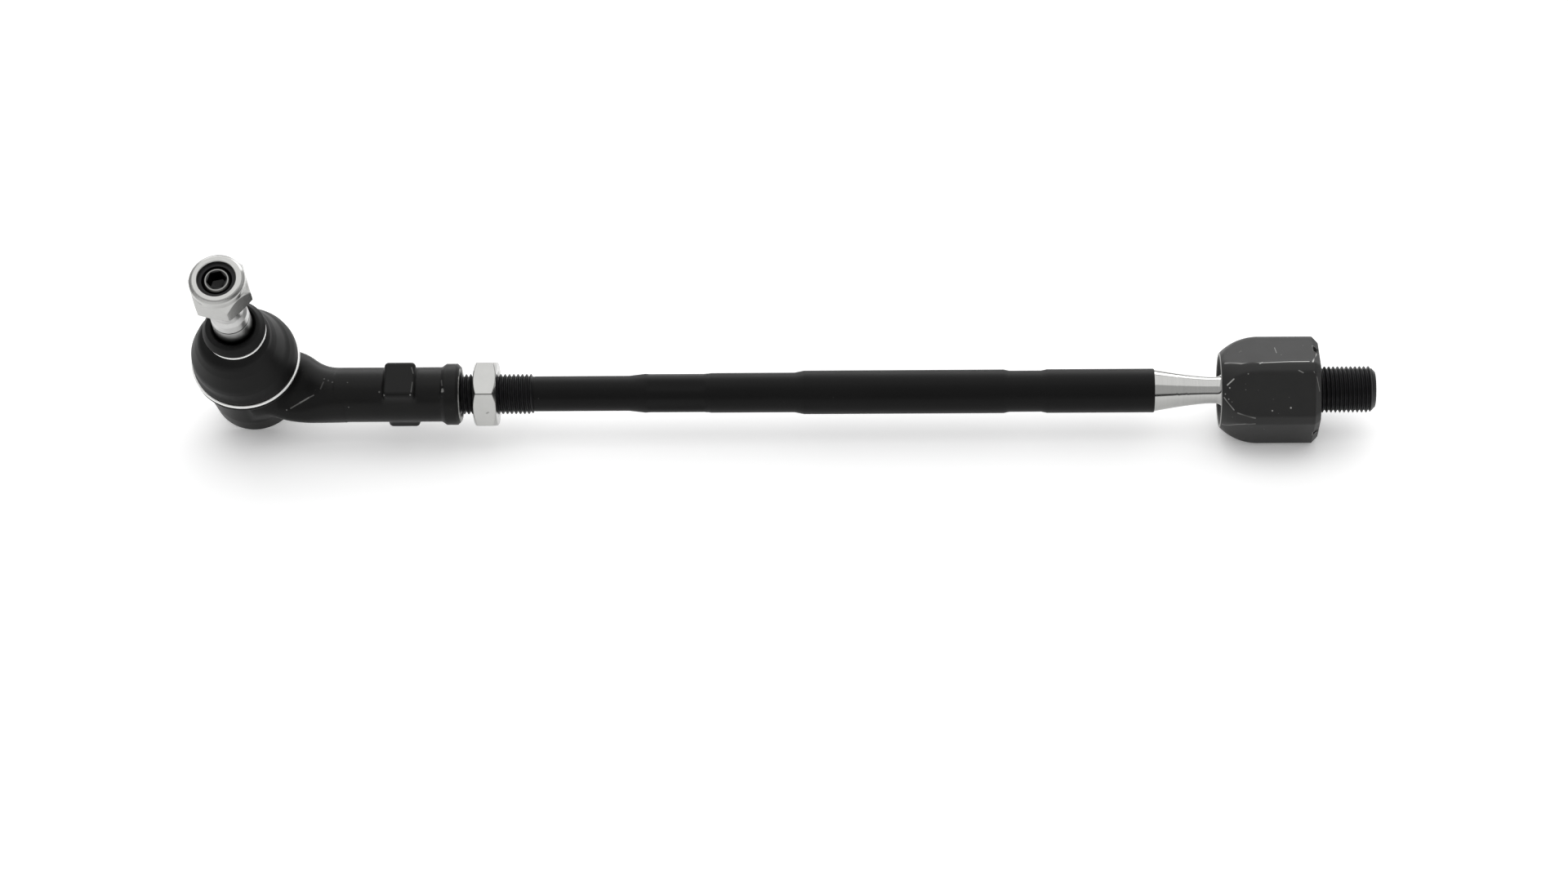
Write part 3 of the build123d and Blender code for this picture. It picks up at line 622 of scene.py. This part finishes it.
def rack_thread():
    """The rack thread, which fades out at the shoulder and ends in a chamfer."""
    outline = [(-0.5, 0.0), (-0.5, 7.7), (0.0, rack_radius), (rack_end_x - 1.9, rack_radius),
               (rack_end_x, 6.1, 0.2), (rack_end_x, 0.0)]

    def shape(along, radius, theta):
        fade = np.clip((along - 0.2) / 1.6, 0, 1)
        return np.minimum(radius, rack_radius - (rack_radius - thread(rack_radius, along, theta)) * fade)

    return reshape(spun(divided(rounded(outline), 0.125), rod_axis, 96), rod_axis, shape)


# Rod

def rod_neck():
    """The ball, the fillet under it and the slender neck with its two turning steps."""
    reach = ball_radius + neck_fillet
    rise = neck_radius + neck_fillet
    fillet_x = ball_x - sqrt(reach ** 2 - rise ** 2)
    ball_angle = degrees(atan2(rise, fillet_x - ball_x))
    profile = arc(ball_x, ball_radius, 0, ball_angle, 48)
    profile += arc(fillet_x, neck_fillet, ball_angle - 180, -90, 10, rise)[1:]
    waist_x = ball_x - 17.0
    steps = {-44.8: 0.05, -48.6: 0.05}
    profile.append((waist_x, neck_radius))
    for share in np.linspace(0, 1, 25)[1:]:
        along = waist_x + (neck_end_x - waist_x) * share
        profile.append((along, neck_radius + 2.6 * share ** 1.35))
    for place, depth in steps.items():
        nearest = min(range(len(profile)), key=lambda k: abs(profile[k][0] - place))
        along, radius = profile[nearest]
        step = [(along + 0.12, radius), (along, radius - depth), (along - 0.12, radius)]
        profile[nearest:nearest + 1] = step
    profile.append((neck_end_x, 7.25))
    return spun(profile, rod_axis, 120)


def rod_bar():
    """The black bar with its groove, reducing cone and forged hexagon."""
    profile = rounded([
        (neck_end_x, 6.9), (neck_end_x, 7.42, 0.15), (neck_end_x - 0.4, rod_radius, 0.2),
        (-93.1, rod_radius, 0.4), (groove_right_x, groove_radius, 0.3), (groove_left_x, groove_radius, 0.3),
        (groove_left_x - 2.0, rod_radius, 0.4), (main_left_x, rod_radius, 1.0),
        (main_left_x - 3.4, middle_radius, 1.0), (wrench_right_x + 1.0, middle_radius, 0.4),
        (wrench_right_x, 6.74, 0.3), (wrench_left_x, 6.75, 2.0), (shank_right_x, shank_radius, 2.0),
        (thread_start_x + 0.7, shank_radius, 0.3), (thread_start_x - 0.3, 5.9)])
    profile = divided(profile, 0.35, wrench_left_x - 4, wrench_right_x + 2)
    middle = (wrench_left_x + wrench_right_x) / 2

    def shape(along, radius, theta):
        run_out = np.maximum(np.abs(along - middle) - 9.4, 0)
        return smooth_min(radius, hexagon(6.5, 4 - 30, theta) + 0.30 * run_out ** 1.5, 0.25)

    return reshape(spun(divided(profile, 6.0), rod_axis, 144, start=4 - 30), rod_axis, shape)


def rod_thread():
    """The thread for the outer end, rolled up from a thinner shank."""
    outline = [(thread_start_x + 0.1, 5.7), (thread_start_x - 0.1, thread_radius, 0.1),
               (rod_end_x + 1.2, thread_radius), (rod_end_x, 5.8), (rod_end_x, 0.0)]

    def shape(along, radius, theta):
        fade = np.clip((thread_start_x + 0.8 - along) / 1.5, 0, 1)
        crest = shank_radius - 0.1 + (thread_radius - shank_radius + 0.1) * fade
        depth = thread_radius - thread(thread_radius, along, theta)
        return np.minimum(radius, crest) - depth * fade

    return reshape(spun(divided(rounded(outline), 0.14), rod_axis, 84), rod_axis, shape)


# Jam nut

def jam_nut():
    """A thin nut, chamfered on both faces, with one corner towards the camera."""
    corner_radius = 22.0 / sqrt(3)
    low, high = jam_low.x, jam_high.x
    outside = [(low + 0.9, 7.1), (low, 8.0), (low, 10.6), (low + 1.25, corner_radius),
               (high - 1.25, corner_radius), (high, 10.6), (high, 8.0), (high - 0.9, 7.1)]
    bore = divided([(high - 0.9, 7.1), (low + 0.9, 7.1)], 0.16)[1:-1]

    def shape(along, radius, theta):
        threaded = np.maximum(thread(7.9, along, theta, 0.8), 7.08)
        inside = np.where(radius < 7.2, threaded, radius)
        return np.where(radius < 8.5, inside, smooth_min(radius, hexagon(11.0, -35, theta), 0.35))

    nut = spun(divided(outside, 0.16) + bore, rod_axis, 144, closed=True, start=-35)
    return reshape(nut, rod_axis, shape)


# Outer housing

arm_places = (4.5, 12.1, 19.7, 26.3, 34.6)
arm_offsets = (6.6, 4.1, 2.7, 0.1, -0.2)
arm_half_widths = (12.36, 13.2, 13.0, 10.0, 9.4)
arm_half_heights = (7.10, 7.25, 7.40, 9.1, 9.5)
pad_normal = Vector((0, -cos(radians(65)), sin(radians(65))))
pad_across = Vector((0, sin(radians(65)), cos(radians(65))))
pad_half_sizes = (5.45, 11.3, 6.9)
casting_nub = Vector((-301.8, -8.1, 6.0))


def eased(values, away):
    """A size of the arm at a distance from the pot's middle, eased between its sections."""
    return sum(np.interp(away + shift, arm_places, values) for shift in (-3, -1.5, 0, 1.5, 3)) / 5


def forging_distance(points):
    """How far points are outside the forging: sleeve, wrench pads, arm and pot, blended where they meet."""
    x, y, z = points.T
    rod_distance = np.hypot(y, z)
    sleeve_size = np.interp(x, (sleeve_end_x - 6.6, sleeve_end_x - 5.0), (sleeve_radius, flare_radius))
    sleeve = np.maximum(rod_distance - sleeve_size, pot_x + 31 - x)
    edge = 1.5
    box = [np.abs(x - pad_x), np.abs(points @ np.array(pad_normal)), np.abs(points @ np.array(pad_across))]
    outside = [np.maximum(size - half + edge, 0) for size, half in zip(box, pad_half_sizes)]
    inside = np.max([size - half + edge for size, half in zip(box, pad_half_sizes)], axis=0)
    pads = np.sqrt(sum(part ** 2 for part in outside)) + np.minimum(inside, 0) - edge
    body = smooth_min(sleeve, pads, 1.3)
    nub = np.sqrt(((points - np.array(casting_nub)) ** 2).sum(axis=1)) - 0.95
    body = smooth_min(body, nub, 0.4)

    from_pot = points - np.array(pot_centre)
    sideways = from_pot @ np.array(side_dir)
    height = from_pot @ np.array(stud_dir)
    away = x - pot_x
    pot_distance = np.hypot(away, sideways)
    half_wide = eased(arm_half_widths, away)
    half_high = eased(arm_half_heights, away)
    middle = eased(arm_offsets, away) - side_offset
    arm = np.sqrt(((sideways - middle) / half_wide) ** 2 + (height / half_high) ** 2) - 1
    arm = np.maximum(np.maximum(arm * half_high, away - 34.6), 3 - away)
    body = np.minimum(body, arm)
    pot_size = np.interp(height, (pot_foot, -8), (15.05, pot_radius))
    pot = smooth_max(pot_distance - pot_size, pot_bottom - height, 1.9)
    pot = np.maximum(pot, height - 12.5)
    body = smooth_min(body, pot, 3.5)
    boot_seat = np.maximum(np.maximum(7.5 - height, pot_distance - 19.2), flange_radius - pot_distance)
    body = np.maximum(body, -boot_seat)
    flange = np.maximum(pot_distance - flange_radius, height - 12.5)
    flange = np.maximum(flange, (pot_distance - height - pot_radius + 6.1) * 0.7)
    return np.minimum(body, flange)


def settled(bm, distance, steps):
    """Moves the vertices along the slope of a distance until they lie on its surface."""
    points = np.array([vert.co for vert in bm.verts])
    for _ in range(steps):
        here = distance(points)
        slope = np.stack([(distance(points + shift) - here) / 0.01 for shift in 0.01 * np.eye(3)], axis=1)
        move = here / np.maximum((slope ** 2).sum(axis=1), 0.3)
        points -= np.clip(move, -0.4, 0.4)[:, None] * slope
    for vert, place in zip(bm.verts, points):
        vert.co = place
    return bm


def forging_blank():
    """The forging's masses as plain closed shapes that run into each other."""
    blank = spun([(pot_bottom, 0.0), (pot_bottom, 13.5), (pot_foot, 15.05), (6.1, pot_radius),
                  (7.4, flange_radius), (12.5, flange_radius), (12.5, 0.0)], stud_axis, 96)
    sleeve = spun([(pot_x + 31, 0.0), (pot_x + 31, sleeve_radius), (sleeve_end_x - 6.6, sleeve_radius),
                   (sleeve_end_x - 5.0, flare_radius), (sleeve_end_x + 1.0, flare_radius),
                   (sleeve_end_x + 1.0, 0.0)], rod_axis, 96)
    rings = []
    for away in (3.0,) + arm_places[1:]:
        turn = Matrix((side_dir * float(eased(arm_half_widths, away)),
                       stud_dir * float(eased(arm_half_heights, away)), Vector((1, 0, 0))))
        centre = Vector((pot_x + away, 0, 0)) + side_dir * float(eased(arm_offsets, away))
        place = Matrix.Translation(centre) @ turn.transposed().to_4x4()
        ring = bmesh.ops.create_circle(blank, radius=1.0, segments=64, matrix=place)["verts"]
        rings.append(list({edge for vert in ring for edge in vert.link_edges}))
    for first, last in zip(rings[:-1], rings[1:]):
        bmesh.ops.bridge_loops(blank, edges=first + last)
    bmesh.ops.edgeloop_fill(blank, edges=rings[0])
    bmesh.ops.edgeloop_fill(blank, edges=rings[-1])
    turn = Matrix((Vector((1, 0, 0)), pad_normal, pad_across)).transposed().to_4x4()
    place = Matrix.Translation((pad_x, 0, 0)) @ turn @ Matrix.Diagonal((*(2 * h for h in pad_half_sizes), 1))
    bmesh.ops.create_cube(blank, size=1.0, matrix=place)
    blank.from_mesh(plain_mesh("sleeve_blank", sleeve))
    return blank


def plain_mesh(name, bm):
    """A mesh, still in millimetres, from a bmesh that is used up."""
    bmesh.ops.recalc_face_normals(bm, faces=bm.faces)
    mesh = bpy.data.meshes.new(name)
    bm.to_mesh(mesh)
    bm.free()
    return mesh


def cut(bm, cutters):
    """The bmesh with the cutters taken out of it."""
    solids = []
    for i, shape in enumerate([bm] + cutters):
        solid = bpy.data.objects.new(f"cut_{i}", plain_mesh(f"cut_{i}", shape))
        bpy.context.scene.collection.objects.link(solid)
        solids.append(solid)
    for cutter in solids[1:]:
        taken = solids[0].modifiers.new("cut", "BOOLEAN")
        taken.operation = "DIFFERENCE"
        taken.solver = "EXACT"
        taken.object = cutter
    result = bmesh.new()
    result.from_object(solids[0], bpy.context.evaluated_depsgraph_get())
    for solid in solids:
        bpy.data.meshes.remove(solid.data)
    return result


def remeshed(bm, size):
    """One even skin round shapes that run into each other, with faces of a size in millimetres."""
    solid = bpy.data.objects.new("skin", plain_mesh("skin", bm))
    bpy.context.scene.collection.objects.link(solid)
    skin = solid.modifiers.new("skin", "REMESH")
    skin.mode = "VOXEL"
    skin.voxel_size = size
    result = bmesh.new()
    result.from_object(solid, bpy.context.evaluated_depsgraph_get())
    bpy.data.meshes.remove(solid.data)
    return result


def pot_room():
    """What is taken out of the pot: the ball's room, its mouth, and the hole that the cover closes."""
    room = arc(0.0, 12.9, 0, 90, 24)
    throat = [point for point in room if point[0] < 7.9]
    return spun([(14.0, 0.0), (14.0, 13.2), (8.0, 10.1)] + throat
                + [(-15.2, 12.9), (-15.2, 11.4), (-18.0, 11.4), (-18.0, 0.0)], stud_axis, 120)


def sleeve_bore():
    """What is taken off the sleeve: the bore, its chamfer, and all outside the turned end."""
    profile = [(-36.0, 0.0), (-34.0, 7.05), (-1.3, 7.05), (0.0, 8.35), (0.0, 9.45), (-1.2, 10.62),
               (-1.2, 14.0), (3.0, 14.0), (3.0, 0.0)]
    return spun([(sleeve_end_x + along, radius) for along, radius in profile], rod_axis, 96)


def outer_housing():
    """The forging: blended skin over the blank, then the machined rooms cut out of it."""
    skin = settled(remeshed(forging_blank(), 0.45), forging_distance, 6)
    return cut(skin, [pot_room(), sleeve_bore()])


# Dust boot and its rings

def dust_boot():
    """Bead with its ring's groove, a dome that leans a little, a moulding nub, and the lip on the stud."""
    profile = rounded([
        (7.7, 17.05), (7.7, 18.2, 0.4), (9.2, 18.8, 0.5), (10.2, 18.3, 0.2), (10.4, 17.7, 0.2),
        (11.6, 17.7, 0.2), (11.8, 18.0, 0.2), (12.6, 18.3, 0.5), (14.0, 18.0, 2.0), (18.0, 17.1, 4.0),
        (22.0, 15.6, 5.0), (26.0, 14.1, 5.0), (30.0, 12.1, 2.5), (31.8, 10.3, 0.5), (32.2, 9.5, 0.2),
        (33.2, 9.5, 0.2), (33.5, 10.2, 0.3), (35.0, 10.9, 0.6), (38.0, 9.1, 1.0), (38.0, 7.8, 0.4),
        (37.3, 7.05, 0.2),
        (31.0, 7.05, 0.5), (30.3, 8.9, 0.6), (26.0, 12.1, 4.0), (22.0, 13.5, 4.0), (17.0, 15.4, 3.0),
        (13.2, 17.0, 0.6), (7.9, 17.0)], 6)

    def shape(along, radius, theta):
        aside = radius * (theta % (2 * pi) - pi)
        nub = 0.4 * np.exp(-(aside ** 2 + (along - 16.0) ** 2) / 0.2)
        lean = np.interp(along, (15, 20, 29, 31.5, 34, 36), (0, 1.3, 1.2, 0, 0, 0.4))
        lean = lean * np.cos(theta - radians(215))
        return radius + np.where(radius > 8.6, lean, 0) + np.where(radius > 14.5, nub, 0)

    return reshape(spun(divided(profile, 0.9), stud_axis, 120, closed=True), stud_axis, shape)


def wire_ring(height, ring_radius, wire_radius):
    """A ring of round wire about the stud's axis."""
    section = [(height + up, ring_radius + out) for up, out in arc(0.0, wire_radius, 0, 360, 16)[:-1]]
    return spun(section, stud_axis, 144, closed=True)


# Ball stud and its nut

def ball_stud():
    """Ball, neck, collar, taper with its groove, undercut, thread, and the hexagonal hole in its end."""
    stud_ball = 11.0
    stud_neck = 5.5
    fillet = 1.5
    rise = stud_neck + fillet
    fillet_height = sqrt((stud_ball + fillet) ** 2 - rise ** 2)
    ball_angle = degrees(atan2(rise, fillet_height))
    profile = arc(0.0, stud_ball, 180, ball_angle, 40)
    profile += arc(fillet_height, fillet, ball_angle - 180, -90, 6, rise)[1:]
    profile += rounded([
        (22.0, stud_neck, 2.0), (30.0, 7.0, 0.6), (34.0, 7.0), (44.15, 6.61), (44.3, 6.31), (44.7, 6.29),
        (44.85, 6.57), (48.4, 6.41, 0.15), (49.65, 5.35, 0.15), (54.9, 5.35, 0.1), (55.3, 6.0), (69.0, 6.0),
        (69.9, 4.9, 0.2), (71.9, 4.4, 0.2), (72.5, 4.0, 0.1), (72.5, 3.6), (72.3, 3.3), (66.5, 3.3),
        (65.3, 0.0)], 4)

    def shape(along, radius, theta):
        fade = np.clip((along - 55.3) / 1.5, 0, 1)
        threaded = np.minimum(radius, 6.0 - (6.0 - thread(6.0, along, theta, 0.85)) * fade)
        keyed = np.minimum(radius * 1.06, hexagon(3.0, 12, theta))
        in_key = (radius < 3.4) & (along > 60)
        return np.where(in_key, keyed, np.where((along > 55.2) & (radius > 4.95), threaded, radius))

    return reshape(spun(divided(profile, 0.14, 55.2, 69.4), stud_axis, 96), stud_axis, shape)


def stud_nut():
    """A lock nut: hexagon below, round collar above, rolled in over its nylon ring."""
    corner_radius = 19.0 / sqrt(3)
    outside = rounded([
        (62.4, 6.1), (61.5, 7.0), (61.5, 9.37), (62.3, corner_radius), (67.5, corner_radius, 0.3),
        (70.0, 9.5, 0.6), (72.3, 9.45, 0.9), (73.3, 8.5, 0.5), (73.5, 8.1, 0.2), (73.5, 6.7, 0.15),
        (73.2, 6.5, 0.1), (72.2, 6.5), (72.2, 7.6), (69.6, 7.6), (69.6, 6.1)])
    bore = divided([(69.6, 6.1), (62.4, 6.1)], 0.2)[1:-1]

    def shape(along, radius, theta):
        threaded = np.maximum(thread(6.85, along, theta, 0.8), 6.07)
        inside = np.where(radius < 6.2, threaded, radius)
        return np.where(radius < 8.3, inside, smooth_min(radius, hexagon(9.5, -12, theta), 0.12))

    nut = spun(divided(outside, 0.2) + bore, stud_axis, 144, closed=True, start=-12)
    return reshape(nut, stud_axis, shape)


def nylon_ring():
    """The locking ring, whose thread isn't cut until a stud is driven through it."""
    profile = rounded([(69.65, 5.2), (69.65, 7.55), (72.15, 7.55, 0.3), (72.15, 5.2, 0.5)])
    return spun(profile, stud_axis, 96, closed=True)


# The pieces
socket_body = piece("inner_socket_body", inner_socket(), 40)
socket_thread = piece("inner_socket_thread", rack_thread(), 50)
neck = piece("tie_rod_neck", rod_neck(), 50)
bar = piece("tie_rod_bar", rod_bar(), 50)
bar_thread = piece("tie_rod_thread", rod_thread(), 50)
thin_nut = piece("jam_nut_body", jam_nut(), 30)
forging = piece("outer_housing_forging", outer_housing(), 40)
lower_wire = piece("boot_lower_wire", wire_ring(11.0, 18.3, 0.6), 80)
upper_wire = piece("boot_upper_wire", wire_ring(32.7, 10.0, 0.5), 80)
stud_body = piece("ball_stud_body", ball_stud(), 40)
lock_nut = piece("stud_nut_body", stud_nut(), 30)
locking_ring = piece("stud_nut_nylon", nylon_ring(), 40)
boot = piece("boot_rubber", dust_boot(), 50)

# Where the rubbed places and the painted highlights lie on them, and the painted dark reflection along the
# thin nut's near corner
forging_wear_and_highlight_marks = marked(forging, forging_wear_and_highlights)
socket_marks = marked(socket_body, socket_wear)
nut_corner = Vector((0, cos(radians(145)), sin(radians(145)))) * nut_corner_radius
corner_start = nut_corner + Vector((jam_low.x + 1.1, 0, 0))
corner_end = nut_corner + Vector((jam_high.x - 1.1, 0, 0))
nut_dirt_and_reflection_marks = [(corner_start, corner_end, 0.35, 0.75)] + marked(thin_nut, nut_wear)

# Finishes
forged_black = finish("dip_painted_forged_steel", forged_black_look, Specular_IOR_Level=0.16)
turned_black = finish("dip_painted_turned_steel", turned_black_look, Specular_IOR_Level=0.12)
turned_bright = finish("turned_steel", turned_bright_look, Metallic=1.0)
phosphate = finish("phosphated_steel", phosphate_look, Specular_IOR_Level=0.34)
black_oxide = finish("black_oxide_steel", black_oxide_look, Specular_IOR_Level=0.22)
ground_steel = finish("ground_steel", ground_steel_look, Metallic=1.0)
zinc = finish("zinc_plated_steel", zinc_look, Metallic=1.0)
spring_wire = finish("drawn_steel_wire", spring_wire_look, Metallic=1.0)
rubber = finish("moulded_rubber", rubber_look, Specular_IOR_Level=0.16)
nylon = finish("moulded_nylon", nylon_look, Specular_IOR_Level=0.25)
acetal = finish("moulded_acetal", acetal_look)

dress(socket_body, phosphate, "socket_steel", "socket", "inner_socket")
dress(socket_thread, black_oxide, "socket_steel", "socket")
dress(neck, turned_bright, "rod_steel", "rod", "tie_rod")
dress(bar, turned_black, "rod_steel", "rod")
dress(bar_thread, black_oxide, "rod_steel", "rod")
dress(thin_nut, zinc, "zinc_plate", "jam_nut", "jam_nut")
dress(forging, forged_black, "forged_steel", "outer_end", "outer_housing")
dress(lower_wire, spring_wire, "ring_wire", "outer_end", "boot_lower_ring")
dress(upper_wire, spring_wire, "ring_wire", "boot_lip", "boot_upper_ring")
dress(stud_body, ground_steel, "bright_steel", "stud", "ball_stud")
dress(lock_nut, zinc, "zinc_plate", "stud_nut", "stud_nut")
dress(locking_ring, nylon, "black_nylon", "stud_nut", "stud_nut_insert")

boot.data.materials.append(rubber)
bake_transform(boot)
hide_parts("dust_boot")

# The hidden solids keep their shapes and get their materials
for name, material in (
    ("outer_ball_seat", acetal), ("inner_ball_seat", acetal), ("outer_cover_plate", forged_black),
    ("outer_preload_spring", turned_bright),
):
    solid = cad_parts[name]
    solid.data.materials.clear()
    solid.data.materials.append(material)


# Floor: a plain white table that keeps the object's shadow
table_top = bpy.data.materials.new("white_table_top")
table_top.use_nodes = True
tree = table_top.node_tree
shader = next(n for n in tree.nodes if n.type == "BSDF_PRINCIPLED")
shader.inputs["Base Color"].default_value = colour("fafafa")
shader.inputs["Roughness"].default_value = 1.0
shader.inputs["Specular IOR Level"].default_value = 0.0
shader.inputs["Emission Color"].default_value = (1.0, 1.0, 1.0, 1.0)
rays = tree.nodes.new("ShaderNodeLightPath")
seen = node(tree, "Math", {0: rays.outputs["Is Camera Ray"], 1: rays.outputs["Is Glossy Ray"]},
            operation="ADD")
seen = node(tree, "Math", {0: seen, 1: rays.outputs["Is Transmission Ray"]}, operation="ADD", use_clamp=True)
seen = node(tree, "Math", {0: seen, 1: 0.20}, operation="MULTIPLY")
tree.links.new(seen, shader.inputs["Emission Strength"])
bpy.ops.mesh.primitive_plane_add(size=12.0, location=(-0.18, 0.3, (floor_z - 0.02) / 1000))
floor = bpy.context.object
floor.name = "floor"
floor.data.materials.append(table_top)

# Light: a white room that is dark near the horizon, and large soft lamps above and behind
world = bpy.data.worlds.new("world")
world.use_nodes = True
bpy.context.scene.world = world
tree = world.node_tree
background = next(n for n in tree.nodes if n.type == "BACKGROUND")
background.inputs["Color"].default_value = (1.0, 1.0, 1.0, 1.0)
direction = node(tree, "TexCoord", {})
height = node(tree, "VectorMath", {0: direction, 1: (0.0, 0.0, 1.0)}, operation="DOT_PRODUCT")
level = node(tree, "MapRange", {"Value": height, "From Min": 0.14, "From Max": 0.26, "To Min": 0.03,
                                "To Max": 0.68})
tree.links.new(level, background.inputs["Strength"])


def lamp(name, place, target, size_x, size_y, power):
    data = bpy.data.lights.new(name, "AREA")
    data.shape = "RECTANGLE"
    data.size = size_x
    data.size_y = size_y
    data.energy = power
    made = bpy.data.objects.new(name, data)
    bpy.context.scene.collection.objects.link(made)
    made.location = place
    made.rotation_euler = (Vector(target) - Vector(place)).to_track_quat("-Z", "Y").to_euler()


lamp("top_light", (-0.18, 0.30, 1.5), (-0.18, 0.0, 0.0), 3.0, 2.0, 13.0)
lamp("back_light", (-0.18, 1.6, 0.8), (-0.18, 0.0, 0.0), 2.6, 0.9, 16.0)

bpy.context.scene.view_settings.view_transform = "Standard"
